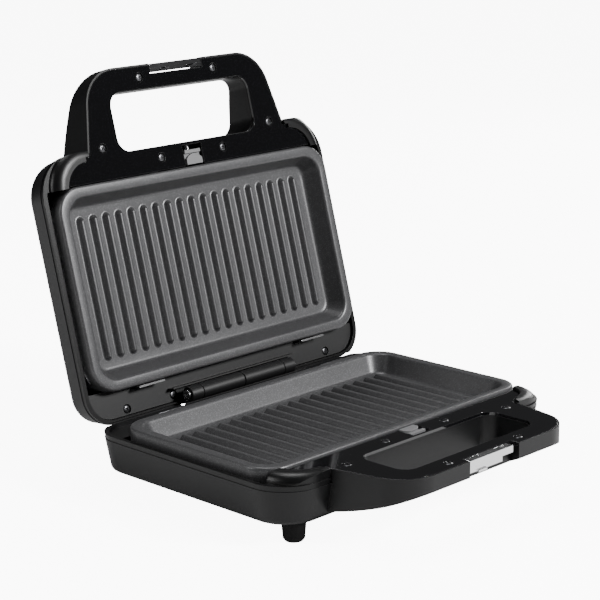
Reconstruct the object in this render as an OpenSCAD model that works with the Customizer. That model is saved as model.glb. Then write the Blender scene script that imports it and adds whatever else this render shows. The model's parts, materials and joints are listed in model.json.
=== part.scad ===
// Panini press with ribbed removable plates and a hinged lid, shown with the lid
// leaning open against its stop. Millimetres, +Z up, handles towards -Y.
// The origin is on the surface the press stands on, under the middle of its outline.
// Both halves are drawn in the closed press's own frame: X = 0 is the middle,
// Y = 0 is the middle of the plates and Z = 0 is the plane where the halves meet.
// The lid's pieces are drawn as base pieces, then mirrored and swung open.

/* [Grill plates] */
// Width of a grill plate over its rim
plate_w = 243; // [200:1:295]
// Depth of a grill plate over its rim, from handle side to hinge side
plate_d = 134; // [110:1:165]
// Corner radius of the plate rim
plate_r = 18; // [14:0.5:24]
// Width of the flat rim around the cooking hollow
plate_rim = 6.5; // [5:0.5:8]
// Depth of the cooking hollow below the meeting plane
hollow_depth = 13.5; // [11:0.5:14]
// Thickness of the cast plate
plate_t = 2.6; // [2:0.1:3.2]
// Height of the plate's outer side wall
plate_side_h = 9; // [7.5:0.5:9.5]
// Distance from rib to rib
rib_pitch = 10.8; // [9:0.1:16]
// Radius of a rib's rounded back
rib_r = 3.3; // [2.4:0.1:3.8]
// Height of a rib above the floor of the hollow
rib_h = 3.4; // [2:0.1:4.5]

/* [Housings] */
// Space between the plate and the outside of the housing at each side
side_gap = 6; // [5:0.5:12]
// Space between the plate and the housing's front face
front_gap = 21.5; // [18:0.5:30]
// Space between the plate and the housing's rear face
rear_gap = 22; // [21:0.5:26]
// Depth of the base below the meeting plane
base_depth = 33; // [32:0.5:42]
// Depth of the lid above the meeting plane
lid_depth = 29; // [28.5:0.5:38]
// Height between the meeting plane and the housing's side rim
rim_drop = 7; // [6:0.5:8]
// Height between the meeting plane and the seam under the rim frame
seam_drop = 10.5; // [9.5:0.5:12]
// Wall thickness of the moulded housings
wall = 2.4; // [1.8:0.1:3]
// Plan radius of the housing's front corners
front_corner_r = 28; // [24:1:34]
// Plan radius of the housing's rear corners
rear_corner_r = 22; // [19:1:26]
// Slope of the housing's side walls, in degrees from upright
wall_slope = 9.8; // [6:0.2:12]
// Radius of the base's lower edge
base_edge_r = 5; // [3:0.5:7]
// Radius of the lid's upper edge
lid_edge_r = 8; // [4:0.5:9]

/* [Handles] */
// How far the handles reach out in front of the housing
handle_len = 51; // [44:1:65]
// Corner radius at the front of a handle, in plan
nose_r = 27; // [22:1:32]
// Distance from the middle to the centre of a handle's front corner
nose_x = 55.5; // [50:0.5:58]
// Splay of the handle's legs, in degrees
leg_splay = 12.2; // [8:0.2:14]
// Depth of the handle where it leaves the housing
neck_depth = 28.5; // [26:0.5:30]
// Depth of the handle at its front
nose_depth = 12.3; // [11:0.1:14]
// Radius of the bowed underside of the handle, in side view
underside_r = 210; // [190:5:400]
// Distance of the handle's inner face from the meeting plane
face_drop = 2; // [1.5:0.1:2.5]
// Thickness of the glossy handle cover
cover_t = 2; // [1.6:0.1:2.4]
// Width of the finger opening
opening_w = 124; // [90:1:130]
// Depth of the finger opening
opening_d = 39; // [34:1:46]
// Corner radius of the finger opening
opening_r = 9.5; // [6:0.5:12]
// Width of the grip bar in front of the finger opening
grip_w = 16.5; // [14:0.5:20]
// Width of the raised ear round each shoulder of a handle cover
ear_w = 3; // [2:0.5:5]

/* [Hinge] */
// How far the lid leans open from closed, in degrees
open_angle = 104.7; // [90:0.1:105]
// Distance from the plate to the hinge pin
hinge_gap = 15; // [14:0.5:15.5]
// Outer radius of the hinge barrel
barrel_r = 5.3; // [4.8:0.1:5.6]
// Length of each long knuckle
knuckle_len = 38; // [30:1:44]
// Length of each short end knuckle
end_knuckle_len = 10.5; // [8:0.5:13]
// Radius of the hinge pin
pin_r = 2; // [1.6:0.1:2.4]
// Depth of the rear strips below the meeting plane
strip_drop = 9.4; // [9:0.1:10]

/* [Latch] */
// Width of the latch notch in the front of each handle
notch_w = 47; // [36:1:56]
// Depth of the latch notch
notch_d = 6.6; // [6:0.1:8]
// Travel of the latch slide
latch_travel = 5; // [4:0.5:6]

/* [Plate release] */
// Width of a release button
button_w = 14; // [11:0.5:16]
// Travel of a release button
button_travel = 3; // [2:0.5:3]

/* [Heating] */
// Radius of a heating element's tube
element_r = 3.2; // [2.8:0.1:3.6]
// Distance between the two long runs of a heating element
element_pitch = 66; // [50:1:76]

/* [Feet] */
// Height of the feet
foot_h = 13.5; // [10:0.5:17]
// Radius of a foot at its top
foot_r = 7.8; // [6:0.2:9]

/* [Hidden] */
$fn = 64;
gap = 0.3;               // clearance between pieces that do not carry each other
fit = 0.05;              // radial clearance of pins, screws and shafts
screw_r = 1.4;           // shank of the housing screws
screw_head_r = 2.9;
screw_head_h = 1.4;
boss_r = 3.6;
boss_depth = 15;         // how deep the screw bosses reach below the meeting plane
boss_l = 9;              // length of a boss under a rear strip
cover_screw_l = 11;
join = 0.01;             // how far joined solids run into each other

body_w = plate_w + 2 * side_gap;
front_y = -(plate_d / 2 + front_gap);
back_y = plate_d / 2 + rear_gap;
hinge_y = plate_d / 2 + hinge_gap;
handle_front = front_y - handle_len;
slope = tan(wall_slope);

// The hollow's floor and the ribs that fit on it
floor_inset = 6;
floor_w = plate_w - 2 * (plate_rim + floor_inset);
floor_d = plate_d - 2 * (plate_rim + floor_inset);
rib_count = 2 * floor((floor_w / 2 - 8) / rib_pitch) + 1;
rib_len = floor_d - 14;

nose_y = handle_front + nose_r;
opening_front = handle_front + grip_w;
opening_back = opening_front + opening_d;
cover_back = -(plate_d / 2 + 0.6);
button_y = opening_back + wall + gap + button_travel;
button_l = cover_back - 0.6 - button_y;

// The cover's rounded shoulders beside the handle's neck
shoulder_r = 21 - ear_w;
shoulder_x = body_w / 2 - 35;
shoulder_y = front_y + 25;
ear_end_x = shoulder_x - 4;
ear_slope_w = 8;           // width of the rounded slope outside an ear
ear_back = -(plate_d / 2 - 0.5);

reflector_z = -(hollow_depth + plate_t + 2 * element_r + 1.6);
reflector_t = 0.8;
reflector_inset = 4;       // from the plate's outline to the reflector's wall
wire_z = reflector_z - 3;
element_z = -(hollow_depth + plate_t + 0.5 + element_r);
barrel_half = knuckle_len + end_knuckle_len;
foot_bottom = -(base_depth + foot_h);
pocket_w = 2 * barrel_half + 6;
wall_half = barrel_half + 8.5; // half the low wall in front of the barrel
frame_reach = wall + 1.2;  // width of the rim frame
strip_t = 2;
cover_floor_t = 2.2;       // thickness of the bottom cover
grip_screw_x = 33.4;
leg_screw_in = 12.6;       // from a leg's outline to its screw
sill_screw_x = 28;
sill_screw_back = 7.7;     // from the finger opening to the screws behind it
bottom_screw_in = 14;      // how far the bottom screws sit inside the housing's side
bottom_screw_l = 6.5;
gland_x = 74;
gland_z = -base_depth + 9.5;
gland_r = 5.4;
thermostat_r = 8.5;
thermostat_y = 12;
clip_w = 22;
clip_x = plate_w / 2 - 57; // near end of a plate clip
lens_r = 3;
lens_pos = [9, -40];
lid_wire_r = 0.8;

// Centre of the handle's bowed underside, from its depths at the neck and at the front
bow_half = norm([handle_len, neck_depth - nose_depth]) / 2;
bow_lift = sqrt(underside_r * underside_r - bow_half * bow_half) / (2 * bow_half);
bow_y = (handle_front + front_y) / 2 + (neck_depth - nose_depth) * bow_lift;
bow_z = handle_len * bow_lift - (neck_depth + nose_depth) / 2;
function bow_depth(y) = sqrt(pow(underside_r, 2) - pow(y - bow_y, 2)) - bow_z;

// Furthest point of the open lid, which with the handle sets the origin
bow_points = [for (i = [0:32]) let (y = front_y - handle_len * i / 32) [y, bow_depth(y)]];
lid_points = concat(bow_points, [[front_y + (lid_depth - rim_drop) * slope + lid_edge_r, lid_depth]]);
lid_reach_y = max([for (p = lid_points)
    hinge_y + (p[0] - hinge_y) * cos(open_angle) + p[1] * sin(open_angle)]);
origin_y = (handle_front + lid_reach_y) / 2;

// The keeper's two hooks
latch_t = 1.2;
latch_face_h = 4.6;
hook_x = [-notch_w / 2 + 11, notch_w / 2 - latch_travel - 7];
hook_y = handle_front + notch_d - 2.1;

// ---- frames ----

// From the closed press's frame to the part's own frame
module stand() {
    translate([0, -origin_y, -foot_bottom]) children();
}

// A base-style piece, mirrored into the lid and swung open about the hinge pin
module open_lid() {
    stand() translate([0, hinge_y, 0]) rotate([-open_angle, 0, 0])
        translate([0, -hinge_y, 0]) mirror([0, 0, 1]) children();
}

module both_sides() {
    children();
    mirror([1, 0, 0]) children();
}

// ---- shapes ----

function leg_tangent(r) = [nose_x + r * cos(leg_splay), nose_y - r * sin(leg_splay)];
function leg_x(r, y) = leg_tangent(r)[0] + (y - leg_tangent(r)[1]) * tan(leg_splay);

module rounded(w, d, r) {
    square([w - 2 * r, d], center = true);
    square([w, d - 2 * r], center = true);
    for (x = [-1, 1], y = [-1, 1])
        translate([x * (w / 2 - r), y * (d / 2 - r)]) circle(r);
}

// Points along an arc, from angle a to angle b
function arc(x, y, r, a, b, n = 12) =
    [for (i = [0:n]) [x + r * cos(a + (b - a) * i / n), y + r * sin(a + (b - a) * i / n)]];

// Plan outline of a handle and its legs, moved in by inset
module handle_plan(inset = 0, root = front_y + 12) {
    r = nose_r - inset;
    polygon(concat([[-leg_x(r, root), root]],
        arc(-nose_x, nose_y, r, 180 + leg_splay, 270), arc(nose_x, nose_y, r, 270, 360 - leg_splay),
        [[leg_x(r, root), root]]));
}

module opening_plan(grow = 0) {
    translate([0, (opening_front + opening_back) / 2])
        rounded(opening_w + 2 * grow, opening_d + 2 * grow, opening_r + grow);
}

// Section through a sloping housing wall: r is its reach at the rim's height
module wall_section(r, top, bottom, round) {
    reach = r + (bottom + round + rim_drop) * slope;
    polygon([[0, top], [r + (top + rim_drop) * slope, top], [reach, bottom + round],
             [reach - round, bottom], [0, bottom]]);
    if (round > 0) translate([reach - round, bottom + round]) circle(round);
}

module corner(x, y, turn) {
    translate([x, y, 0]) rotate([0, 0, turn]) rotate_extrude(angle = 90) children();
}

// A run of wall section along X or Y; the section faces the given direction
module run(x, y, turn, length) {
    translate([x, y, 0]) rotate([0, 0, turn]) rotate([90, 0, 0])
        linear_extrude(length) children();
}

// Solid block with sloping sides and rounded plan corners, moved in by inset
module housing_block(inset, top, bottom, round = 0) {
    fr = front_corner_r - inset;
    rr = rear_corner_r - inset;
    fx = body_w / 2 - front_corner_r;
    rx = body_w / 2 - rear_corner_r;
    fy = front_y + front_corner_r;
    ry = back_y - rear_corner_r;
    corner(fx, fy, -90) wall_section(fr, top, bottom, round);
    corner(-fx, fy, 180) wall_section(fr, top, bottom, round);
    corner(rx, ry, 0) wall_section(rr, top, bottom, round);
    corner(-rx, ry, 90) wall_section(rr, top, bottom, round);
    run(fx, ry, 0, ry - fy) wall_section(fr, top, bottom, round);
    run(-fx, fy, 180, ry - fy) wall_section(fr, top, bottom, round);
    run(fx, fy, -90, 2 * fx) wall_section(fr, top, bottom, round);
    run(-rx, ry, 90, 2 * rx) wall_section(rr, top, bottom, round);
    translate([-fx, fy, bottom]) cube([2 * fx, ry - fy, top - bottom]);
}

// The space above the bowed underside of a handle
module above_underside(inset = 0) {
    translate([-body_w / 2, bow_y, bow_z]) rotate([90, 0, 90])
        cylinder(r = underside_r - inset, h = body_w, $fn = 128);
}

// Solid of a handle with its legs, moved in by inset
module handle_block(inset, top) {
    intersection() {
        translate([0, 0, -base_depth]) linear_extrude(base_depth + top) handle_plan(inset);
        above_underside(inset);
    }
}

module notch(extra = 0, top = 1) {
    translate([-notch_w / 2 - extra, handle_front - 5, -40])
        cube([notch_w + 2 * extra, notch_d + extra + 5, 40 + top]);
}

// Places of the cover screws: in the grip bar, in the legs and in the sill by the plate
module at_grip_screws() {
    both_sides() translate([grip_screw_x, opening_front - grip_w / 2, 0]) children();
}

module at_leg_screws() {
    y = opening_back - 4.5;
    both_sides() translate([leg_x(nose_r, y) - leg_screw_in, y, 0]) children();
}

module at_sill_screws() {
    both_sides() translate([sill_screw_x, opening_back + sill_screw_back, 0]) children();
}

module at_cover_screws() {
    at_grip_screws() children();
    at_leg_screws() children();
    at_sill_screws() children();
}

module at_strip_screws() {
    both_sides() translate([body_w / 2 - 34, hinge_y - 1, 0]) children();
    translate([-barrel_half - 4.5, hinge_y - 1.6, 0]) children();
}

module at_bottom_screws() {
    both_sides() for (y = [-1, 1]) translate([body_w / 2 - bottom_screw_in, y * 45, 0]) children();
}

// Countersunk-style pan screw pointing down from z = 0
module screw(length) {
    difference() {
        union() {
            translate([0, 0, -screw_head_h]) cylinder(r = screw_head_r, h = screw_head_h);
            translate([0, 0, -length]) cylinder(r = screw_r, h = length - screw_head_h + join);
        }
        for (a = [0, 90]) rotate([0, 0, a])
            translate([-1.9, -0.35, -0.7]) cube([3.8, 0.7, 1]);
    }
}

// ---- housings and covers ----

// Shell of one half: the sloping tray and the handle's outer skin in one moulding
module half_shell(depth, round, closed) {
    difference() {
        union() {
            housing_block(0, -seam_drop, -depth, round);
            handle_block(0, -face_drop);
        }
        // inside of the tray and of the handle, leaving a wall around the finger opening
        difference() {
            union() {
                housing_block(wall, 1, closed ? wall - depth : -depth - 1);
                handle_block(wall, -face_drop - cover_t);
            }
            translate([0, 0, -depth - 2]) linear_extrude(depth + 4) opening_plan(wall);
            notch(wall);
            bosses(depth);
        }
        // the cover's rebate
        translate([0, 0, -face_drop - cover_t]) linear_extrude(10) handle_plan(1.2);
        translate([-body_w, cover_back - 0.5, -seam_drop]) cube([2 * body_w, 300, 30]);
        translate([0, 0, -depth - 2]) linear_extrude(depth + 4) opening_plan();
        notch();
        at_cover_screws() translate([0, 0, -boss_depth - 1]) cylinder(r = screw_r + fit, h = boss_depth);
        at_strip_screws() translate([0, 0, -strip_drop - strip_t - boss_l])
            cylinder(r = screw_r + fit, h = boss_l + strip_t + 1);
        // room for the barrel between the rear edges
        translate([-pocket_w / 2, hinge_y - 8, -seam_drop]) cube([pocket_w, 40, 20]);
        translate([0, 0, -depth]) children();
    }
}

// Screw bosses inside a half shell, tied to the walls near them
module bosses(depth) {
    top = -face_drop - cover_t;
    strip_low = -strip_drop - strip_t;
    at_grip_screws() translate([0, 0, -boss_depth]) cylinder(r = boss_r, h = boss_depth + top);
    at_leg_screws() translate([0, 0, -neck_depth]) cylinder(r = boss_r, h = neck_depth + top);
    at_sill_screws() translate([0, 0, -boss_depth]) {
        cylinder(r = boss_r, h = boss_depth + top);
        translate([-1, -sill_screw_back, 0]) cube([2, sill_screw_back, boss_depth + top]);
    }
    at_strip_screws() translate([0, 0, strip_low - boss_l]) {
        cylinder(r = boss_r, h = boss_l);
        translate([-1, 0, 0]) cube([2, 8, boss_l]);
    }
}

// Frame that closes the tray's rim, with a raised ear at each front corner
module rim_frame() {
    low = -seam_drop;
    difference() {
        union() {
            housing_block(0.4, -rim_drop, low);
            intersection() {
                housing_block(1.2, -gap, low);
                both_sides() ear();
            }
        }
        // inside edge of the frame
        difference() {
            housing_block(frame_reach, 5, low - 1);
            both_sides() translate([ear_end_x, front_y - 2, low])
                cube([body_w, ear_back - front_y + 2, 30]);
        }
        // the cover's shoulders and the plate fit inside the ears
        translate([0, 0, low - 1]) linear_extrude(30) shoulder_plan(gap);
        translate([0, 0, low - 1]) linear_extrude(30)
            rounded(plate_w + 1.2, plate_d + 1.2, plate_r + 0.6);
        translate([-ear_end_x - 0.6, front_y - 5, low - 1]) cube([2 * ear_end_x + 1.2, 30, 30]);
        translate([0, 0, low - 1]) linear_extrude(30) handle_plan(-0.4);
        // the rear edge is lower, so that the open lid's rim clears it
        translate([-body_w, hinge_y + 4.4, -strip_drop]) cube([2 * body_w, 30, 30]);
        translate([-pocket_w / 2, hinge_y - 8, low - 1]) cube([pocket_w, 40, 20]);
    }
}

// Raised ear that rings a shoulder and slopes off in a curve to the rim
module ear() {
    r = shoulder_r + ear_w;
    drop = rim_drop - gap;
    intersection() {
        translate([shoulder_x, shoulder_y, 0]) rotate_extrude() polygon(concat(
            [[0, -seam_drop], [0, -gap]],
            [for (a = [0:7.5:90]) [r + ear_slope_w * sin(a), -gap - drop * (1 - cos(a))]],
            [[r + ear_slope_w, -seam_drop]]));
        translate([0, front_y - 10, -seam_drop]) cube([body_w, ear_back - front_y + 10, 30]);
    }
}

module shoulder_plan(grow = 0) {
    both_sides() intersection() {
        translate([shoulder_x, shoulder_y]) circle(shoulder_r + grow);
        translate([0, front_y - 10]) square([body_w, ear_back - front_y + 10]);
    }
    translate([-shoulder_x, front_y + 4 - grow])
        square([2 * shoulder_x, cover_back - front_y - 4 + 2 * grow]);
}

// Glossy cover over the handle and the strip in front of the plate
module handle_cover() {
    translate([0, 0, -face_drop - cover_t]) difference() {
        linear_extrude(cover_t) difference() {
            union() {
                handle_plan(1.5, front_y + 6);
                shoulder_plan();
            }
            opening_plan(0.3);
            translate([-notch_w / 2 - 0.4, handle_front - 5]) square([notch_w + 0.8, notch_d + 5.4]);
            // slot for the release button, open towards the plate
            translate([-button_w / 2 - 1.6, opening_back + wall - 0.3]) square([button_w + 3.2, 40]);
            translate([-body_w, cover_back]) square([2 * body_w, 50]);
        }
        at_cover_screws() translate([0, 0, -1]) cylinder(r = screw_r + 0.3, h = 10);
        at_cover_screws() translate([0, 0, cover_t - screw_head_h]) cylinder(r = screw_head_r + 0.3, h = 5);
    }
}

// Strip behind the plate, around the barrel, that carries the clips
module rear_strip() {
    front = plate_d / 2 - 1;
    low = -strip_drop - strip_t;
    // low wall that hides the gap under the barrel
    translate([-wall_half, hinge_y - barrel_r - 1.2, low + strip_t / 2])
        cube([2 * wall_half, 0.8, strip_drop + strip_t / 2 - 3.2]);
    difference() {
        intersection() {
            housing_block(wall + 1.5, 0, low);
            translate([-body_w, front, low]) cube([2 * body_w, back_y - front, strip_t]);
        }
        at_strip_screws() translate([0, 0, low - 1]) cylinder(r = screw_r + 0.3, h = 10);
        at_strip_screws() translate([0, 0, -strip_drop - screw_head_h])
            cylinder(r = screw_head_r + 0.3, h = 5);
        both_sides() translate([clip_x - 1, plate_d / 2 - 0.6, low - 1]) cube([clip_w + 2, 3.2, 10]);
    }
}

module base_housing() color([0.13, 0.13, 0.14]) stand() {
    half_shell(base_depth, base_edge_r, false)
        translate([gland_x, back_y - 12, base_depth + gland_z]) rotate([-90, 0, 0])
            cylinder(r = gland_r + fit, h = 20);
    // posts for the bottom cover's screws
    difference() {
        intersection() {
            at_bottom_screws() translate([0, 0, -base_depth + cover_floor_t]) {
                cylinder(r = boss_r, h = bottom_screw_l - cover_floor_t);
                translate([-0.1, -1, 0]) cube([bottom_screw_in, 2, bottom_screw_l - cover_floor_t]);
            }
            housing_block(wall / 2, 0, -base_depth);
        }
        at_bottom_screws() translate([0, 0, -base_depth - 1]) cylinder(r = screw_r + fit, h = 12);
    }
}

module lid_housing() color([0.13, 0.13, 0.14]) open_lid() half_shell(lid_depth, lid_edge_r, true) {
    both_sides() translate([lens_pos[0], lens_pos[1], -1]) cylinder(r = lens_r + fit, h = 10);
}

module base_bottom_cover() {
    low = -base_depth;
    color([0.06, 0.06, 0.065]) stand() difference() {
        housing_block(wall + gap, low + cover_floor_t, low, 1);
        translate([0, 0, low - 1]) linear_extrude(10) opening_plan(wall + gap);
        at_bottom_screws() translate([0, 0, low - 1]) cylinder(r = screw_r + 0.3, h = 10);
        at_bottom_screws() translate([0, 0, low - 1])
            cylinder(r = screw_head_r + 0.3, h = 1 + screw_head_h);
        // ventilation slots
        for (i = [-4:4]) translate([i * 9 - 1.5, -15, low - 1]) cube([3, 34, 10]);
    }
}

module base_rim_frame() color([0.11, 0.11, 0.12]) stand() rim_frame();
module lid_rim_frame() color([0.11, 0.11, 0.12]) open_lid() rim_frame();
module base_handle_cover() color([0.03, 0.03, 0.035]) stand() handle_cover();
module lid_handle_cover() color([0.03, 0.03, 0.035]) open_lid() handle_cover();
module base_rear_strip() color([0.10, 0.10, 0.11]) stand() rear_strip();
module lid_rear_strip() color([0.10, 0.10, 0.11]) open_lid() rear_strip();

// ---- grill plates ----

// Cast plate with a stepped rim and a hollow whose floor is ribbed
module grill_plate() {
    step_w = plate_w - 2 * plate_rim;
    step_d = plate_d - 2 * plate_rim;
    difference() {
        union() {
            translate([0, 0, -plate_side_h]) linear_extrude(plate_side_h - gap)
                rounded(plate_w, plate_d, plate_r);
            translate([0, 0, -hollow_depth - plate_t]) linear_extrude(hollow_depth)
                rounded(floor_w + 2 * plate_t, floor_d + 2 * plate_t, plate_r - plate_rim);
        }
        translate([0, 0, -hollow_depth]) linear_extrude(hollow_depth + 5)
            rounded(floor_w, floor_d, plate_r - plate_rim - 3);
        translate([0, 0, -hollow_depth / 2]) linear_extrude(hollow_depth)
            rounded(step_w, step_d, plate_r - plate_rim);
        // the underside of the rim is open
        translate([0, 0, -plate_side_h - 1]) linear_extrude(plate_side_h - plate_t + 1) difference() {
            rounded(plate_w - 2 * plate_t, plate_d - 2 * plate_t, plate_r - plate_t);
            rounded(step_w + 2 * plate_t, step_d + 2 * plate_t, plate_r - plate_rim + plate_t);
        }
    }
    // the ribs, cut off inside the floor
    intersection() {
        for (i = [0:rib_count - 1])
            translate([(i - (rib_count - 1) / 2) * rib_pitch, 0, rib_h - rib_r - hollow_depth]) rib();
        translate([-floor_w / 2, -floor_d / 2, -hollow_depth - plate_t / 2])
            cube([floor_w, floor_d, hollow_depth]);
    }
}

module rib() {
    rotate([90, 0, 0]) rotate_extrude() intersection() {
        union() {
            square([rib_r, rib_len - 2 * rib_r], center = true);
            translate([-rib_r / 2, 0]) square([3 * rib_r, rib_len - 2 * rib_r], center = true);
            for (s = [-1, 1]) translate([0, s * (rib_len / 2 - rib_r)]) circle(rib_r);
        }
        translate([0, -rib_len]) square([2 * rib_r, 2 * rib_len]);
    }
}

module lower_grill_plate() color([0.27, 0.27, 0.28]) stand() grill_plate();
module upper_grill_plate() color([0.27, 0.27, 0.28]) open_lid() grill_plate();

// ---- heat ----

// Steel pan that throws the element's heat back at the plate
module reflector() {
    t = reflector_t;
    top = -plate_side_h - gap;
    w = plate_w - 2 * reflector_inset;
    d = plate_d - 2 * reflector_inset;
    r = plate_r - reflector_inset;
    difference() {
        union() {
            translate([0, 0, reflector_z]) linear_extrude(top - reflector_z) rounded(w, d, r);
            translate([0, 0, top - t]) linear_extrude(t)
                rounded(body_w - 2 * (frame_reach + 1.2), plate_d - 3.4, plate_r);
        }
        translate([0, 0, reflector_z + t]) linear_extrude(60) rounded(w - 2 * t, d - 2 * t, r - t);
        translate([0, thermostat_y, reflector_z - 1]) cylinder(r = thermostat_r + 1, h = 5);
    }
}

function element_end_x() = floor_w / 2 - 20;
function element_bend_x() = -(floor_w / 2 - 10 - element_pitch / 2);

// U-shaped tube heater with its two cold ends
module heating_element() {
    x0 = element_bend_x();
    len = element_end_x() - x0;
    translate([0, 0, element_z]) {
        for (y = [-1, 1]) translate([x0, y * element_pitch / 2, 0]) rotate([0, 90, 0])
            cylinder(r = element_r, h = len);
        translate([x0, 0, 0]) rotate([0, 0, 90]) rotate_extrude(angle = 180)
            translate([element_pitch / 2, 0]) circle(element_r);
        for (y = [-1, 1]) translate([element_end_x() - join, y * element_pitch / 2, 0]) rotate([0, 90, 0])
            cylinder(r = 1.6, h = 9);
    }
}

// Clamps that hold the element's runs on the reflector
module element_clamps() {
    low = reflector_z + reflector_t;
    for (x = [element_bend_x() + 12, element_end_x() - 20], y = [-1, 1])
        translate([x, y * element_pitch / 2, 0]) difference() {
            translate([-4, -element_r - 2, low]) cube([8, 2 * element_r + 4, element_z - low + 1]);
            translate([-10, 0, element_z]) rotate([0, 90, 0]) cylinder(r = element_r + fit, h = 20);
        }
}

// Switch that feels the plate through a hole in the reflector
module thermostat() {
    top = -(hollow_depth + plate_t + 0.6);
    translate([0, thermostat_y, 0]) difference() {
        union() {
            translate([0, 0, top - 2]) cylinder(r = thermostat_r - 2, h = 2);
            translate([0, 0, reflector_z - 3])
                cylinder(r = thermostat_r, h = top - 2 - reflector_z + 3);
        }
        for (x = [-4, 4]) translate([x, 0, reflector_z - 4]) cylinder(r = 0.9, h = 4);
    }
}

module base_reflector() color([0.78, 0.78, 0.8]) stand() reflector();
module lid_reflector() color([0.78, 0.78, 0.8]) open_lid() reflector();
module base_heating_element() color([0.35, 0.33, 0.3]) stand() heating_element();
module lid_heating_element() color([0.35, 0.33, 0.3]) open_lid() heating_element();
module base_element_clamps() color([0.7, 0.7, 0.72]) stand() element_clamps();
module lid_element_clamps() color([0.7, 0.7, 0.72]) open_lid() element_clamps();
module base_thermostat() color([0.8, 0.78, 0.7]) stand() thermostat();

module lid_thermal_fuse() color([0.82, 0.8, 0.74]) open_lid()
    translate([-14, -8, reflector_z + reflector_t + 2]) rotate([0, 90, 0]) {
        cylinder(r = 2, h = 28);
        translate([0, 0, -8]) cylinder(r = 0.6, h = 44);
    }

// ---- wiring ----

module wire(x, y0, y1, z, r) {
    translate([x, y1, z]) rotate([90, 0, 0]) cylinder(r = r, h = y1 - y0);
}

module terminal_block() color([0.85, 0.84, 0.8]) stand() difference() {
    translate([wire_x(0) - 4.5, plate_d / 2 + 1, -base_depth + cover_floor_t]) cube([26, 13, 10]);
    for (i = [0:2]) translate([wire_x(i), plate_d / 2 + 20, wire_z]) rotate([90, 0, 0])
        cylinder(r = 1.15, h = 40);
    for (i = [0:2]) translate([wire_x(i), plate_d / 2 + 7.5, wire_z]) cylinder(r = 1.4, h = 12);
}

function wire_x(i) = 42.5 + i * 8.5;

module base_wiring() color([0.75, 0.72, 0.62]) stand()
    for (i = [0:2]) wire(wire_x(i), 10 - i * 14, plate_d / 2 + 13, wire_z, 1.1);

module lid_wiring() color([0.75, 0.72, 0.62]) open_lid()
    for (x = [20, 26])
        wire(x, -30, plate_d / 2 + 4, -lid_depth + wall + gap + lid_wire_r, lid_wire_r);

// Bush in the rear wall where the mains lead enters
module cord_gland() {
    color([0.05, 0.05, 0.05]) stand() translate([gland_x, back_y - 9.5, gland_z]) rotate([-90, 0, 0])
        difference() {
            union() {
                cylinder(r = gland_r, h = 8.5);
                cylinder(r = gland_r + 1.4, h = 1.6);
            }
            translate([0, 0, -1]) cylinder(r = gland_r - 2, h = 20);
        }
}

// ---- hinge ----

// A knuckle of the barrel with the arm that stands on the rear strip
module knuckle(x, length, bore, arm = 7) {
    difference() {
        union() {
            translate([x, hinge_y, 0]) rotate([0, 90, 0]) cylinder(r = barrel_r, h = length);
            translate([x, hinge_y - arm / 2, -strip_drop]) cube([length, arm, strip_drop]);
        }
        translate([x - 1, hinge_y, 0]) rotate([0, 90, 0]) cylinder(r = bore, h = length + 2);
    }
}

module base_knuckles() color([0.10, 0.10, 0.11]) stand() {
    knuckle(-barrel_half, end_knuckle_len - gap, pin_r + fit);
    knuckle(gap, knuckle_len - gap, pin_r + fit);
}

module lid_knuckles() color([0.10, 0.10, 0.11]) open_lid() {
    knuckle(-knuckle_len, knuckle_len - gap, pin_r + fit);
    knuckle(knuckle_len + gap, end_knuckle_len - gap, pin_r + fit);
}

module hinge_pin() color([0.7, 0.7, 0.72]) stand()
    translate([-barrel_half + 1.5, hinge_y, 0]) rotate([0, 90, 0])
        cylinder(r = pin_r, h = 2 * barrel_half - 3);

// Screws in the ends of the barrel that keep the pin in
module hinge_end_screws() color([0.6, 0.6, 0.62]) stand()
    translate([0, hinge_y, 0]) both_sides()
        translate([barrel_half + 1.2, 0, 0]) rotate([0, 90, 0]) difference() {
            translate([0, 0, -1.1]) cylinder(r = 3.4, h = 1.5);
            for (a = [0, 90]) rotate([0, 0, a]) translate([-2, -0.4, -0.2]) cube([4, 0.8, 2]);
        }

// ---- plate clips and releases ----

// Spring clips behind the plate that catch its rear rim
module plate_clips() {
    t = 0.8;
    low = -strip_drop - strip_t - t;
    both_sides() translate([clip_x, plate_d / 2 + 0.5, 0]) {
        translate([0, 0, low]) cube([clip_w, t, -low - 1]);
        translate([0, 0, -2 * t]) cube([clip_w, 2 * t, t]);
        // foot that grips the strip from below
        translate([clip_w / 3, 0, low]) cube([clip_w / 3, 6, t]);
    }
}

module base_plate_clips() color([0.8, 0.8, 0.82]) stand() plate_clips();
module lid_plate_clips() color([0.8, 0.8, 0.82]) open_lid() plate_clips();

// Push button that draws the plate's front catch back
module release_button() {
    y = button_y;
    low = -face_drop - 3.4;
    bar_l = 2.4;
    pad_y = y + bar_l + 0.6;
    arch_r = 0.64 * button_w;
    translate([-button_w / 2, y, low]) cube([button_w, button_l, 1.6]);
    translate([-button_w / 2, y, low]) cube([button_w, bar_l, 3.2]);
    // pad with an arched end towards the handle
    translate([0, 0, low]) linear_extrude(3.8) intersection() {
        translate([-button_w / 2, pad_y]) square([button_w, y + button_l - pad_y]);
        translate([0, pad_y + arch_r]) circle(arch_r);
    }
    // stem that the spring pushes on
    translate([-3, y + 1, -face_drop - 8]) cube([6, 5, 5]);
}

// Coil spring that pushes the button back
module release_spring() {
    y0 = opening_back + wall + 0.1;
    y1 = button_y + 1;
    translate([0, y0, -face_drop - 6]) rotate([-90, 0, 0]) difference() {
        cylinder(r = 2.1, h = y1 - y0);
        translate([0, 0, -1]) cylinder(r = 1.5, h = 10);
    }
}

module base_release_button() color([0.55, 0.55, 0.56]) stand() release_button();
module lid_release_button() color([0.55, 0.55, 0.56]) open_lid() release_button();
module base_release_spring() color([0.7, 0.7, 0.72]) stand() release_spring();
module lid_release_spring() color([0.7, 0.7, 0.72]) open_lid() release_spring();

// ---- latch ----

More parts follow.
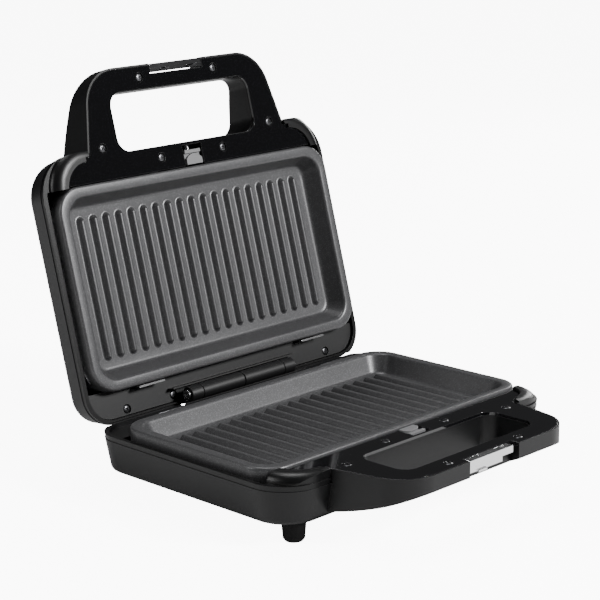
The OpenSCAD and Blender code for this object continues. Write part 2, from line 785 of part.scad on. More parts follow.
// Bent strip that fills a notch: a flange level with the cover and a face in front
module latch_angle(x, w) {
    y = handle_front + 0.4;
    translate([x, y, -face_drop - latch_t]) cube([w, notch_d - 0.9, latch_t]);
    translate([x, y, -face_drop - latch_face_h]) cube([w, latch_t, latch_face_h]);
}

// Chrome slide in the base's notch: a flange with two keyhole slots, a face and below it
// a shorter strip, set back, with a finger tab
module latch_slide() {
    w = notch_w - latch_travel - 1;
    x0 = -notch_w / 2 + 0.5;
    color([0.85, 0.85, 0.87]) stand() difference() {
        union() {
            latch_angle(x0, w);
            translate([x0, handle_front + 2.2, -face_drop - 8.8]) cube([w - 8, 1, 8.8]);
            translate([x0 + 9, handle_front + 1, -face_drop - 9.6]) cube([8, 2.2, 1.6]);
        }
        for (x = hook_x) translate([x, hook_y, -10]) {
            translate([-2.3, -0.9, 0]) cube([4.6, 1.8, 20]);
            translate([-latch_travel - 1.3, -0.6, 0]) cube([latch_travel + 1, 1.2, 20]);
        }
    }
}

// Chrome strip in the lid's notch with the two hooks that drop into the slide
module latch_keeper() {
    w = notch_w - 1;
    head_z = face_drop + latch_t + gap;
    color([0.85, 0.85, 0.87]) open_lid() {
        latch_angle(-w / 2, w);
        for (x = hook_x) translate([x, hook_y, 0]) {
            translate([-0.9, -0.4, -face_drop - 0.5]) cube([1.8, 0.8, face_drop + 0.5 + head_z]);
            translate([-1.7, -0.6, head_z]) cube([3.4, 1.2, 1]);
        }
    }
}

// ---- fasteners and feet ----

module base_cover_screws() color([0.6, 0.6, 0.62]) stand()
    at_cover_screws() translate([0, 0, -face_drop]) screw(cover_screw_l);
module lid_cover_screws() color([0.6, 0.6, 0.62]) open_lid()
    at_cover_screws() translate([0, 0, -face_drop]) screw(cover_screw_l);
module base_strip_screws() color([0.3, 0.3, 0.31]) stand()
    at_strip_screws() translate([0, 0, -strip_drop]) screw(boss_l);
module lid_strip_screws() color([0.3, 0.3, 0.31]) open_lid()
    at_strip_screws() translate([0, 0, -strip_drop]) screw(boss_l);
module bottom_screws() color([0.3, 0.3, 0.31]) stand()
    at_bottom_screws() translate([0, 0, -base_depth]) mirror([0, 0, 1]) screw(bottom_screw_l - 0.3);

module foot(r) {
    rotate_extrude() difference() {
        polygon([[0, 0], [r, 0], [r - 1, 2 - foot_h], [r - 2.4, -foot_h], [0, -foot_h]]);
        translate([-1, -foot_h - 1]) square([3.4, 4]);
    }
}

module front_feet() color([0.04, 0.04, 0.04]) stand()
    both_sides() translate([body_w / 2 - 24, front_y + 18, -base_depth]) foot(foot_r);
module rear_feet() color([0.04, 0.04, 0.04]) stand()
    both_sides() translate([62, back_y - foot_r - 10.2, -base_depth]) foot(foot_r);

// ---- indicators ----

module indicator_lenses() color([0.8, 0.15, 0.1]) open_lid()
    both_sides() translate([lens_pos[0], lens_pos[1], -lid_depth]) {
        cylinder(r = lens_r, h = wall + 0.6);
        translate([0, 0, wall]) cylinder(r = lens_r + 1, h = 0.6);
    }

module indicator_board() color([0.1, 0.35, 0.15]) open_lid()
    translate([-lens_pos[0] - 7, lens_pos[1] - 6, -lid_depth + wall + 0.9])
        cube([2 * lens_pos[0] + 14, 12, 1]);

base_housing();
base_bottom_cover();
base_rim_frame();
base_handle_cover();
base_rear_strip();
base_reflector();
base_heating_element();
base_element_clamps();
base_thermostat();
terminal_block();
base_wiring();
cord_gland();
base_knuckles();
hinge_pin();
hinge_end_screws();
base_plate_clips();
base_cover_screws();
base_strip_screws();
bottom_screws();
front_feet();
rear_feet();
base_release_spring();
base_release_button();
lower_grill_plate();
latch_slide();
lid_housing();
lid_rim_frame();
lid_handle_cover();
lid_rear_strip();
lid_reflector();
lid_heating_element();
lid_element_clamps();
lid_thermal_fuse();
lid_wiring();
lid_knuckles();
lid_plate_clips();
lid_cover_screws();
lid_strip_screws();
latch_keeper();
indicator_lenses();
indicator_board();
lid_release_spring();
lid_release_button();
upper_grill_plate();
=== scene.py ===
"""Panini press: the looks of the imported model.

Pieces are drawn in millimetres in the closed press's own frame, where X = 0 is the middle,
Y = 0 is the middle of the plates and Z = 0 is the plane where base and lid meet.
A piece of the lid is drawn as a base piece; the lid's matrix mirrors it and swings it open.
"""
import json
import math

import bmesh
import bpy
from mathutils import Matrix, Vector


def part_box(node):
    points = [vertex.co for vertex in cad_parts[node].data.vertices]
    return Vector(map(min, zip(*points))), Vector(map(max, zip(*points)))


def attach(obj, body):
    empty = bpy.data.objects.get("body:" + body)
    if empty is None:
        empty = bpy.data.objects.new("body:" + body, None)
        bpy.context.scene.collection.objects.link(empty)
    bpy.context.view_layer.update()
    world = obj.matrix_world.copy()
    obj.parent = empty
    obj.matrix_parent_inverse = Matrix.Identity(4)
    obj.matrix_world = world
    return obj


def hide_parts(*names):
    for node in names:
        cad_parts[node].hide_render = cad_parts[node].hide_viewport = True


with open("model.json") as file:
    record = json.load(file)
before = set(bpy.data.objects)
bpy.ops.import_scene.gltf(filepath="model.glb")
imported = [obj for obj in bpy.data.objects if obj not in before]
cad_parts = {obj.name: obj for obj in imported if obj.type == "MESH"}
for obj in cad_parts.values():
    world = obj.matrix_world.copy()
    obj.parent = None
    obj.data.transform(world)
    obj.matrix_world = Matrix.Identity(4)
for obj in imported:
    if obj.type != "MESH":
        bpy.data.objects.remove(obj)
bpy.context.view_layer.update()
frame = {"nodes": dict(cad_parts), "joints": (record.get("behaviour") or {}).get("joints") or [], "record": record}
joints = {j["name"]: j for j in frame["joints"]}
nodes = frame["nodes"]

MM = 0.001
HINGE = Vector(joints["lid_hinge"]["pos_m"])
OPEN = math.radians(-joints["lid_hinge"]["range_deg"][0])
plate_low, plate_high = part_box("lower_grill_plate")
plate_mid_y = (plate_low.y + plate_high.y) / 2

# From the closed press's frame, in millimetres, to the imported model's frame
BASE = Matrix.Translation((0, plate_mid_y, HINGE.z)) @ Matrix.Scale(MM, 4)
LID = (Matrix.Translation(HINGE) @ Matrix.Rotation(-OPEN, 4, "X") @ Matrix.Translation(-HINGE)
       @ Matrix.Translation((0, 0, 2 * HINGE.z)) @ Matrix.Scale(-1, 4, (0, 0, 1)) @ BASE)
HALVES = {"base": BASE, "lid": LID}

PLATE_W = (plate_high.x - plate_low.x) / MM
PLATE_D = (plate_high.y - plate_low.y) / MM
PLATE_LOW = (plate_low.z - HINGE.z) / MM
PLATE_R = 18.0


# ---- camera, light and floor ----

def aim(azimuth, elevation, roll):
    """Rotation of a camera that looks from the given azimuth and elevation, in degrees."""
    a, e, turn = (math.radians(v) for v in (azimuth, elevation, roll))
    back = Vector((math.sin(a) * math.cos(e), -math.cos(a) * math.cos(e), math.sin(e)))
    right = (-back).cross(Vector((0, 0, 1))).normalized()
    up = right.cross(-back)
    tilted = math.cos(turn) * right + math.sin(turn) * up
    return Matrix((tilted, back.cross(tilted), back)).transposed()


# Where the camera stands, in millimetres in the closed press's frame, and how it is turned, in degrees
CAMERA_AT = Vector((-831.3, -798.2, 358.9))
CAMERA_AIM = (-45.32, 14.09, -0.853)
CAMERA_LENS = 110.64
# How bright the room is as light and as seen in reflections
ROOM_LIGHT = 0.16
ROOM_REFLECTED = 0.05
# How strongly the floor shines towards the camera, and half its width in metres
FLOOR_GLOW = 9.0
FLOOR_HALF = 6.0
# Name, place, aim, size and watts of each lamp
LAMPS = (
    ("key", (0.68, -1.6, 1.12), (0, 0, 0.12), (0.45, 0.45), 72),
    ("overhead", (0.1, 0.35, 1.6), (0, 0.05, 0.1), (0.7, 0.5), 13),
    ("left_soft", (-1.5, 0.6, 0.8), (0, 0.05, 0.12), (0.4, 0.9), 11),
    ("right_rim", (1.5, 0.5, 0.6), (0, 0, 0.1), (0.3, 0.8), 8),
)


def add_camera():
    data = bpy.data.cameras.new("camera")
    data.sensor_width = 36.0
    data.lens = CAMERA_LENS
    data.clip_start = 0.05
    data.clip_end = 30.0
    camera = bpy.data.objects.new("camera", data)
    bpy.context.scene.collection.objects.link(camera)
    camera.matrix_world = Matrix.Translation(BASE @ CAMERA_AT) @ aim(*CAMERA_AIM).to_4x4()
    bpy.context.scene.camera = camera


def area_light(name, where, target, size, power):
    data = bpy.data.lights.new(name, "AREA")
    data.shape = "RECTANGLE"
    data.size, data.size_y = size
    data.energy = power
    light = bpy.data.objects.new(name, data)
    light.location = where
    light.rotation_mode = "QUATERNION"
    light.rotation_quaternion = (Vector(target) - Vector(where)).to_track_quat("-Z", "Y")
    bpy.context.scene.collection.objects.link(light)


def add_lights():
    for lamp in LAMPS:
        area_light(*lamp)


def add_world():
    """Bright even room light, with a darker room for reflections so that gloss stays deep."""
    world = bpy.data.worlds.new("studio")
    world.use_nodes = True
    tree = world.node_tree
    tree.nodes.clear()
    rooms = []
    for grey in (ROOM_LIGHT, ROOM_REFLECTED):
        room = tree.nodes.new("ShaderNodeBackground")
        room.inputs["Color"].default_value = (0.98, 0.99, 1.0, 1)
        room.inputs["Strength"].default_value = grey
        rooms.append(room)
    path = tree.nodes.new("ShaderNodeLightPath")
    mix = tree.nodes.new("ShaderNodeMixShader")
    out = tree.nodes.new("ShaderNodeOutputWorld")
    tree.links.new(path.outputs["Is Glossy Ray"], mix.inputs["Fac"])
    tree.links.new(rooms[0].outputs["Background"], mix.inputs[1])
    tree.links.new(rooms[1].outputs["Background"], mix.inputs[2])
    tree.links.new(mix.outputs["Shader"], out.inputs["Surface"])
    bpy.context.scene.world = world


# ---- shader node groups ----

def new_group(name, inputs, outputs):
    group = bpy.data.node_groups.new(name, "ShaderNodeTree")
    for label, kind, value in inputs:
        socket = group.interface.new_socket(label, in_out="INPUT", socket_type=kind)
        socket.default_value = value
    for label, kind in outputs:
        group.interface.new_socket(label, in_out="OUTPUT", socket_type=kind)
    return group, group.nodes.new("NodeGroupInput"), group.nodes.new("NodeGroupOutput")


def math_node(tree, operation, a, b=None, clamp=False):
    node = tree.nodes.new("ShaderNodeMath")
    node.operation = operation
    node.use_clamp = clamp
    for index, value in enumerate((a, b)):
        if isinstance(value, (int, float)):
            node.inputs[index].default_value = value
        elif value is not None:
            tree.links.new(value, node.inputs[index])
    return node.outputs[0]


def make_grain_group():
    """Fine moulded or cast grain: a height and a slow cloudy variation."""
    group, given, out = new_group(
        "Surface grain", [("Scale", "NodeSocketFloat", 2000.0), ("Cloud scale", "NodeSocketFloat", 18.0)],
        [("Height", "NodeSocketFloat"), ("Cloud", "NodeSocketFloat")])
    place = group.nodes.new("ShaderNodeTexCoord")
    fine = group.nodes.new("ShaderNodeTexNoise")
    fine.inputs["Detail"].default_value = 2.0
    cloud = group.nodes.new("ShaderNodeTexNoise")
    cloud.inputs["Detail"].default_value = 3.0
    for noise, scale in ((fine, "Scale"), (cloud, "Cloud scale")):
        group.links.new(place.outputs["Object"], noise.inputs["Vector"])
        group.links.new(given.outputs[scale], noise.inputs["Scale"])
    group.links.new(fine.outputs["Fac"], out.inputs["Height"])
    group.links.new(cloud.outputs["Fac"], out.inputs["Cloud"])
    return group


def make_speck_group():
    """Small round specks scattered over the surface, as a mask from 0 to 1."""
    group, given, out = new_group(
        "Specks", [("Scale", "NodeSocketFloat", 900.0), ("Size", "NodeSocketFloat", 0.25)],
        [("Mask", "NodeSocketFloat")])
    place = group.nodes.new("ShaderNodeTexCoord")
    cells = group.nodes.new("ShaderNodeTexVoronoi")
    group.links.new(place.outputs["Object"], cells.inputs["Vector"])
    group.links.new(given.outputs["Scale"], cells.inputs["Scale"])
    inside = math_node(group, "SUBTRACT", given.outputs["Size"], cells.outputs["Distance"])
    group.links.new(math_node(group, "MULTIPLY", inside, 9.0, clamp=True), out.inputs["Mask"])
    return group


def make_edge_highlight_and_wear_group():
    """Mask of the edges, from how far a rounded normal turns from the true one; the materials use it to paint
    edges paler, as wear plus a painted edge highlight.
    """
    group, given, out = new_group(
        "Edge wear", [("Radius", "NodeSocketFloat", 0.0006), ("Amount", "NodeSocketFloat", 4.0)],
        [("Mask", "NodeSocketFloat")])
    rounded = group.nodes.new("ShaderNodeBevel")
    rounded.samples = 4
    group.links.new(given.outputs["Radius"], rounded.inputs["Radius"])
    true = group.nodes.new("ShaderNodeNewGeometry")
    dot = group.nodes.new("ShaderNodeVectorMath")
    dot.operation = "DOT_PRODUCT"
    group.links.new(rounded.outputs["Normal"], dot.inputs[0])
    group.links.new(true.outputs["Normal"], dot.inputs[1])
    turned = math_node(group, "SUBTRACT", 1.0, dot.outputs["Value"])
    group.links.new(math_node(group, "MULTIPLY", turned, given.outputs["Amount"], clamp=True),
                    out.inputs["Mask"])
    return group


GRAIN = make_grain_group()
SPECKS = make_speck_group()
EDGE_HIGHLIGHT_AND_WEAR = make_edge_highlight_and_wear_group()


# ---- materials ----

class Finish:
    """A material under construction, with short calls for the nodes it repeats."""

    def __init__(self, name, colour, roughness, metallic=0.0, **sockets):
        self.material = bpy.data.materials.new(name)
        self.material.use_nodes = True
        self.tree = self.material.node_tree
        self.shader = self.tree.nodes["Principled BSDF"]
        self.shader.inputs["Base Color"].default_value = (*colour, 1.0)
        self.shader.inputs["Roughness"].default_value = roughness
        self.shader.inputs["Metallic"].default_value = metallic
        for label, value in sockets.items():
            self.shader.inputs[label.replace("_", " ")].default_value = value

    def group(self, group, **values):
        node = self.tree.nodes.new("ShaderNodeGroup")
        node.node_tree = group
        for label, value in values.items():
            node.inputs[label.replace("_", " ")].default_value = value
        return node

    def blend(self, factor, a, b):
        """Colour between a and b; each is a colour or another node's socket."""
        mix = self.tree.nodes.new("ShaderNodeMix")
        mix.data_type = "RGBA"
        self.tree.links.new(factor, mix.inputs["Factor"])
        for socket, value in ((mix.inputs[6], a), (mix.inputs[7], b)):
            if isinstance(value, tuple):
                socket.default_value = (*value[:3], 1.0)
            else:
                self.tree.links.new(value, socket)
        return mix.outputs[2]

    def spread(self, value, low, high):
        """A 0 to 1 value mapped between two numbers."""
        span = self.tree.nodes.new("ShaderNodeMapRange")
        self.tree.links.new(value, span.inputs["Value"])
        span.inputs["To Min"].default_value = low
        span.inputs["To Max"].default_value = high
        return span.outputs["Result"]

    def feed(self, label, socket):
        self.tree.links.new(socket, self.shader.inputs[label])

    def bump(self, height, strength, distance=0.0001):
        node = self.tree.nodes.new("ShaderNodeBump")
        node.inputs["Strength"].default_value = strength
        node.inputs["Distance"].default_value = distance
        self.tree.links.new(height, node.inputs["Height"])
        self.feed("Normal", node.outputs["Normal"])


def moulded_plastic(name, colour, roughness, grain=2600.0, depth=0.25, wear_and_highlight=0.03, shine=0.5):
    """Satin or matte moulded plastic with a fine spark-eroded grain and slightly paler edges, which are partly
    wear and partly a painted highlight.
    """
    finish = Finish(name, colour, roughness, Specular_IOR_Level=shine)
    surface = finish.group(GRAIN, Scale=grain, Cloud_scale=14.0)
    edge = finish.group(EDGE_HIGHLIGHT_AND_WEAR, Radius=0.0007, Amount=2.0)
    dust = finish.group(SPECKS, Scale=420.0, Size=0.09)
    # Paler edges: wear plus a painted edge highlight
    pale = tuple(min(1.0, c + wear_and_highlight) for c in colour)
    body = finish.blend(edge.outputs["Mask"], colour, pale)
    finish.feed("Base Color", finish.blend(dust.outputs["Mask"], body, tuple(c * 1.6 for c in colour)))
    finish.feed("Roughness", finish.spread(surface.outputs["Cloud"], roughness - 0.05, roughness + 0.06))
    finish.bump(surface.outputs["Height"], depth)
    return finish.material


def gloss_plastic(name, colour, roughness=0.06):
    """Polished plastic: a clear coat over a dark body, with faint handling marks."""
    finish = Finish(name, colour, roughness, Coat_Weight=0.6, Coat_Roughness=0.04)
    surface = finish.group(GRAIN, Scale=900.0, Cloud_scale=35.0)
    edge = finish.group(EDGE_HIGHLIGHT_AND_WEAR, Radius=0.0005, Amount=3.0)
    # Edges painted paler: a painted edge highlight plus wear
    pale = tuple(c + 0.05 for c in colour)
    finish.feed("Base Color", finish.blend(edge.outputs["Mask"], colour, pale))
    finish.feed("Roughness", finish.spread(surface.outputs["Cloud"], roughness - 0.02, roughness + 0.04))
    finish.bump(surface.outputs["Height"], 0.02)
    return finish.material


def nonstick_coating():
    """Sprayed grey non-stick: pale and dark specks on a slightly metallic ground, with its edges painted paler as
    a highlight.
    """
    ground = (0.058, 0.058, 0.06)
    finish = Finish("nonstick_coating", ground, 0.38, metallic=0.4)
    pale = finish.group(SPECKS, Scale=1150.0, Size=0.3)
    dark = finish.group(SPECKS, Scale=760.0, Size=0.22)
    surface = finish.group(GRAIN, Scale=1500.0, Cloud_scale=22.0)
    edge = finish.group(EDGE_HIGHLIGHT_AND_WEAR, Radius=0.0008, Amount=2.5)
    colour = finish.blend(dark.outputs["Mask"], ground, (0.024, 0.024, 0.025))
    colour = finish.blend(pale.outputs["Mask"], colour, (0.135, 0.135, 0.14))
    # Edges lightened towards 0.2 grey: a painted rim highlight
    finish.feed("Base Color", finish.blend(edge.outputs["Mask"], colour, (0.2, 0.2, 0.205)))
    finish.feed("Roughness", finish.spread(surface.outputs["Cloud"], 0.32, 0.44))
    finish.bump(surface.outputs["Height"], 0.35, 0.00012)
    return finish.material


# Brushed streaks are this many times finer along Z
STREAK_STRETCH = (1.0, 1.0, 40.0)


def bare_metal(name, colour, roughness, depth=0.08):
    """Metal with a fine drawn or brushed streak along one direction."""
    finish = Finish(name, colour, roughness, metallic=1.0)
    place = finish.tree.nodes.new("ShaderNodeTexCoord")
    turn = finish.tree.nodes.new("ShaderNodeMapping")
    turn.inputs["Scale"].default_value = STREAK_STRETCH
    streak = finish.tree.nodes.new("ShaderNodeTexNoise")
    streak.inputs["Scale"].default_value = 120.0
    streak.inputs["Detail"].default_value = 4.0
    finish.tree.links.new(place.outputs["Object"], turn.inputs["Vector"])
    finish.tree.links.new(turn.outputs["Vector"], streak.inputs["Vector"])
    edge = finish.group(EDGE_HIGHLIGHT_AND_WEAR, Radius=0.0004, Amount=3.0)
    # Edges painted brighter: a painted edge highlight plus wear
    bright = tuple(min(1.0, c * 1.15 + 0.04) for c in colour)
    finish.feed("Base Color", finish.blend(edge.outputs["Mask"], colour, bright))
    finish.feed("Roughness", finish.spread(streak.outputs["Fac"], roughness * 0.7, roughness * 1.4))
    finish.bump(streak.outputs["Fac"], depth)
    return finish.material


def stained_tube():
    """Heater tube, darker and redder in patches where it has been hot."""
    finish = Finish("heater_tube", (0.2, 0.17, 0.14), 0.5, metallic=0.8)
    surface = finish.group(GRAIN, Scale=1200.0, Cloud_scale=60.0)
    finish.feed("Base Color", finish.blend(surface.outputs["Cloud"], (0.1, 0.08, 0.07), (0.3, 0.25, 0.2)))
    finish.bump(surface.outputs["Height"], 0.2)
    return finish.material


def fired_ceramic():
    finish = Finish("fired_ceramic", (0.72, 0.7, 0.64), 0.45)
    surface = finish.group(GRAIN, Scale=1800.0, Cloud_scale=80.0)
    dirt = finish.group(SPECKS, Scale=500.0, Size=0.12)
    finish.feed("Base Color", finish.blend(dirt.outputs["Mask"], (0.72, 0.7, 0.64), (0.4, 0.36, 0.3)))
    finish.bump(surface.outputs["Height"], 0.2)
    return finish.material


def woven_sleeve():
    """Glass-fibre sleeve: two crossing bands of thread."""
    finish = Finish("woven_sleeve", (0.6, 0.56, 0.44), 0.8)
    place = finish.tree.nodes.new("ShaderNodeTexCoord")
    bands = finish.tree.nodes.new("ShaderNodeTexWave")
    bands.inputs["Scale"].default_value = 260.0
    bands.inputs["Distortion"].default_value = 1.0
    bands.bands_direction = "DIAGONAL"
    finish.tree.links.new(place.outputs["Object"], bands.inputs["Vector"])
    finish.feed("Base Color", finish.blend(bands.outputs["Fac"], (0.42, 0.38, 0.28), (0.72, 0.68, 0.56)))
    finish.bump(bands.outputs["Fac"], 0.5, 0.0002)
    return finish.material


def lamp_lens():
    """Clear red plastic over a small lamp."""
    finish = Finish("lamp_lens", (0.42, 0.02, 0.015), 0.12, Coat_Weight=0.5)
    surface = finish.group(GRAIN, Scale=700.0, Cloud_scale=120.0)
    finish.feed("Base Color",
                finish.blend(surface.outputs["Cloud"], (0.3, 0.01, 0.01), (0.55, 0.04, 0.02)))
    finish.bump(surface.outputs["Height"], 0.05)
    return finish.material


def circuit_board():
    finish = Finish("circuit_board", (0.02, 0.16, 0.06), 0.35)
    pads = finish.group(SPECKS, Scale=240.0, Size=0.25)
    finish.feed("Base Color", finish.blend(pads.outputs["Mask"], (0.02, 0.16, 0.06), (0.6, 0.58, 0.5)))
    finish.feed("Metallic", finish.spread(pads.outputs["Mask"], 0.0, 0.9))
    return finish.material


def studio_floor():
    """Pale card that stays bright in the view without lighting the press from below."""
    finish = Finish("studio_floor", (0.8, 0.8, 0.8), 0.7)
    surface = finish.group(GRAIN, Scale=300.0, Cloud_scale=2.0)
    finish.feed("Roughness", finish.spread(surface.outputs["Cloud"], 0.6, 0.8))
    finish.shader.inputs["Emission Color"].default_value = (1, 1, 1, 1)
    path = finish.tree.nodes.new("ShaderNodeLightPath")
    finish.feed("Emission Strength", math_node(finish.tree, "MULTIPLY", path.outputs["Is Camera Ray"],
                                           FLOOR_GLOW))
    return finish.material


MATERIALS = {
    "housing": moulded_plastic("satin_housing", (0.004, 0.004, 0.0043), 0.36, wear_and_highlight=0.02, shine=0.3),
    "frame": moulded_plastic("satin_frame", (0.002, 0.002, 0.0022), 0.34, wear_and_highlight=0.012, shine=0.3),
    "strip": moulded_plastic("matte_strip", (0.0032, 0.0032, 0.0035), 0.46, grain=1900.0, depth=0.4,
                             shine=0.4),
    "underside": moulded_plastic("matte_underside", (0.012, 0.012, 0.0125), 0.6, grain=1700.0,
                                 depth=0.45),
    "cover": gloss_plastic("gloss_cover", (0.0025, 0.0025, 0.003)),
    "nonstick": nonstick_coating(),
    "reflector": bare_metal("aluminised_sheet", (0.82, 0.82, 0.83), 0.16, depth=0.05),
    "steel": bare_metal("bright_steel", (0.66, 0.66, 0.67), 0.22),
    "dark_steel": bare_metal("blackened_steel", (0.09, 0.09, 0.095), 0.3),
    "chrome": bare_metal("latch_chrome", (0.86, 0.86, 0.87), 0.2, depth=0.004),
    "keeper_steel": bare_metal("keeper_steel", (0.2, 0.2, 0.205), 0.14, depth=0.02),
    "button": moulded_plastic("grey_button", (0.12, 0.12, 0.124), 0.45, grain=1600.0, depth=0.35,
                              wear_and_highlight=0.12),
    "rubber": moulded_plastic("black_rubber", (0.0015, 0.0015, 0.0015), 0.7, grain=1500.0, depth=0.5,
                              wear_and_highlight=0.01, shine=0.2),
    "element": stained_tube(),
    "ceramic": fired_ceramic(),
    "sleeve": woven_sleeve(),
    "lens": lamp_lens(),
    "board": circuit_board(),
}


# ---- mesh helpers ----

# Points closer than this are merged: in pieces that still have to be placed in a half,
# in pieces and templates that are already where they belong, and in a copy of a CAD node
MERGE_DRAWN = 1e-4
MERGE_PLACED = 1e-7
MERGE_LOOSE = 2e-6
# Faces that turn by less than the first are joined; edges that turn by more than the second are rounded
FLAT_ANGLE = math.radians(0.6)
ROUNDED_ANGLE = math.radians(32)

def into_object(name, bm, matrix=Matrix(), smooth_angle=35.0):
    """Turns a bmesh into a finished object whose place is in its mesh, with faces outward."""
    bmesh.ops.remove_doubles(bm, verts=bm.verts, dist=MERGE_DRAWN if matrix != Matrix() else MERGE_PLACED)
    bm.transform(matrix)
    bmesh.ops.recalc_face_normals(bm, faces=bm.faces)
    mesh = bpy.data.meshes.new(name)
    bm.to_mesh(mesh)
    bm.free()
    mesh.shade_smooth()
    mesh.set_sharp_from_angle(angle=math.radians(smooth_angle))
    made = bpy.data.objects.new(name, mesh)
    bpy.context.scene.collection.objects.link(made)
    return made


def settle(obj):
    """Applies an object's modifiers by swapping in its evaluated mesh."""
    bpy.context.view_layer.update()
    graph = bpy.context.evaluated_depsgraph_get()
    mesh = bpy.data.meshes.new_from_object(obj.evaluated_get(graph), preserve_all_data_layers=True,
                                           depsgraph=graph)
    obj.modifiers.clear()
    obj.data = mesh
    mesh.name = obj.name


def finish_piece(obj, body, material, slot, *replaced):
    """Gives a piece its material and body, and hides the CAD nodes it stands for. The slot argument is not used.
    """
    obj.data.materials.clear()
    obj.data.materials.append(MATERIALS[material])
    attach(obj, body)
    if replaced:
        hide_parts(*replaced)


def body_of(node):
    bodies = frame["record"]["behaviour"]["bodies"]
    return next(body for body, members in bodies.items() if node in members)


def slot_of(node):
    return next(s["material_slot"] for s in frame["record"]["subparts"] if s["node"] == node)


def softened(node, material, width=0.5, segments=3):
    """A copy of a CAD node, merged and with its edges rounded, that stands for the node."""
    bm = bmesh.new()
    bm.from_mesh(nodes[node].data)
    bmesh.ops.remove_doubles(bm, verts=bm.verts, dist=MERGE_LOOSE)
    bmesh.ops.dissolve_limit(bm, angle_limit=FLAT_ANGLE, verts=bm.verts, edges=bm.edges)
    piece = into_object(node + "_shell", bm)
    round_over = piece.modifiers.new("round_over", "BEVEL")
    round_over.width = width * MM
    round_over.segments = segments
    round_over.limit_method = "ANGLE"
    round_over.angle_limit = ROUNDED_ANGLE
    round_over.use_clamp_overlap = True
    even = piece.modifiers.new("even_shading", "WEIGHTED_NORMAL")
    even.keep_sharp = True
    settle(piece)
    finish_piece(piece, body_of(node), material, slot_of(node), node)


# ---- geometry nodes ----

def make_repeat_tree():
    """Puts a template on every point of the input mesh, turned and scaled, as one real mesh."""
    tree = bpy.data.node_groups.new("Repeat on points", "GeometryNodeTree")
    face = tree.interface
    face.new_socket("Geometry", in_out="INPUT", socket_type="NodeSocketGeometry")
    face.new_socket("Template", in_out="INPUT", socket_type="NodeSocketObject")
    face.new_socket("Turn", in_out="INPUT", socket_type="NodeSocketVector")
    face.new_socket("Size", in_out="INPUT", socket_type="NodeSocketFloat").default_value = 1.0
    face.new_socket("Turn spread", in_out="INPUT", socket_type="NodeSocketFloat")
    face.new_socket("Material", in_out="INPUT", socket_type="NodeSocketMaterial")
    face.new_socket("Geometry", in_out="OUTPUT", socket_type="NodeSocketGeometry")
    given = tree.nodes.new("NodeGroupInput")
    out = tree.nodes.new("NodeGroupOutput")
    template = tree.nodes.new("GeometryNodeObjectInfo")
    tree.links.new(given.outputs["Template"], template.inputs["Object"])
    chance = tree.nodes.new("FunctionNodeRandomValue")
    chance.data_type = "FLOAT"
    chance.inputs["Seed"].default_value = 7
    tree.links.new(given.outputs["Turn spread"], chance.inputs[3])
    spin = tree.nodes.new("ShaderNodeCombineXYZ")
    tree.links.new(chance.outputs[1], spin.inputs["Z"])
    turn = tree.nodes.new("ShaderNodeVectorMath")
    turn.operation = "ADD"
    tree.links.new(given.outputs["Turn"], turn.inputs[0])
    tree.links.new(spin.outputs["Vector"], turn.inputs[1])
    place = tree.nodes.new("GeometryNodeInstanceOnPoints")
    tree.links.new(given.outputs["Geometry"], place.inputs["Points"])
    tree.links.new(template.outputs["Geometry"], place.inputs["Instance"])
    tree.links.new(turn.outputs["Vector"], place.inputs["Rotation"])
    tree.links.new(given.outputs["Size"], place.inputs["Scale"])
    real = tree.nodes.new("GeometryNodeRealizeInstances")
    tree.links.new(place.outputs["Instances"], real.inputs["Geometry"])
    coat = tree.nodes.new("GeometryNodeSetMaterial")
    tree.links.new(real.outputs["Geometry"], coat.inputs["Geometry"])
    tree.links.new(given.outputs["Material"], coat.inputs["Material"])
    tree.links.new(coat.outputs["Geometry"], out.inputs["Geometry"])
    return tree


REPEAT = make_repeat_tree()


def repeated(name, template, points, half, material, turn=(0, 0, 0), size=1.0, spread=0.0):
    """One mesh of a template repeated at points given in millimetres, placed in a half."""
    mesh = bpy.data.meshes.new(name)
    mesh.from_pydata(points, [], [])
    made = bpy.data.objects.new(name, mesh)
    bpy.context.scene.collection.objects.link(made)
    nodes_modifier = made.modifiers.new("repeat", "NODES")
    nodes_modifier.node_group = REPEAT
    values = {"Template": template, "Turn": turn, "Size": size, "Turn spread": spread,
              "Material": MATERIALS[material]}
    for socket in REPEAT.interface.items_tree:
        if socket.in_out == "INPUT" and socket.name in values:
            nodes_modifier[socket.identifier] = values[socket.name]
    settle(made)
    made.data.transform(HALVES[half])
    if half == "lid":
        made.data.flip_normals()
    made.data.shade_smooth()
    made.data.set_sharp_from_angle(angle=math.radians(40))
    return made


def drop(*templates):
    for template in templates:
        bpy.data.objects.remove(template)


# ---- shared outlines ----

def rounded_ring(width, depth, radius, z, steps=10):
    """Points round a rectangle with rounded corners, at one height."""
    points = []
    for cx, cy, start in ((1, 1, 0), (-1, 1, 90), (-1, -1, 180), (1, -1, 270)):
        for i in range(steps + 1):
            a = math.radians(start + 90 * i / steps)
            points.append((cx * (width / 2 - radius) + radius * math.cos(a),
                           cy * (depth / 2 - radius) + radius * math.sin(a), z))
    return points


def loft(bm, rings):
    """Skins a stack of equal rings of points and closes both ends."""
    rows = [[bm.verts.new(p) for p in ring] for ring in rings]
    for low, high in zip(rows, rows[1:]):
        count = len(low)
        for i in range(count):
            bm.faces.new((low[i], low[(i + 1) % count], high[(i + 1) % count], high[i]))
    bm.faces.new(rows[0][::-1])
    bm.faces.new(rows[-1])


def turned(bm, profile, steps=32):
    """Turns a profile of (radius, z) points about Z; its ends lie on the axis."""
    rings = [[(r * math.cos(2 * math.pi * i / steps), r * math.sin(2 * math.pi * i / steps), z)
              for i in range(steps)] for r, z in profile]
    loft(bm, rings)


# ---- grill plates ----

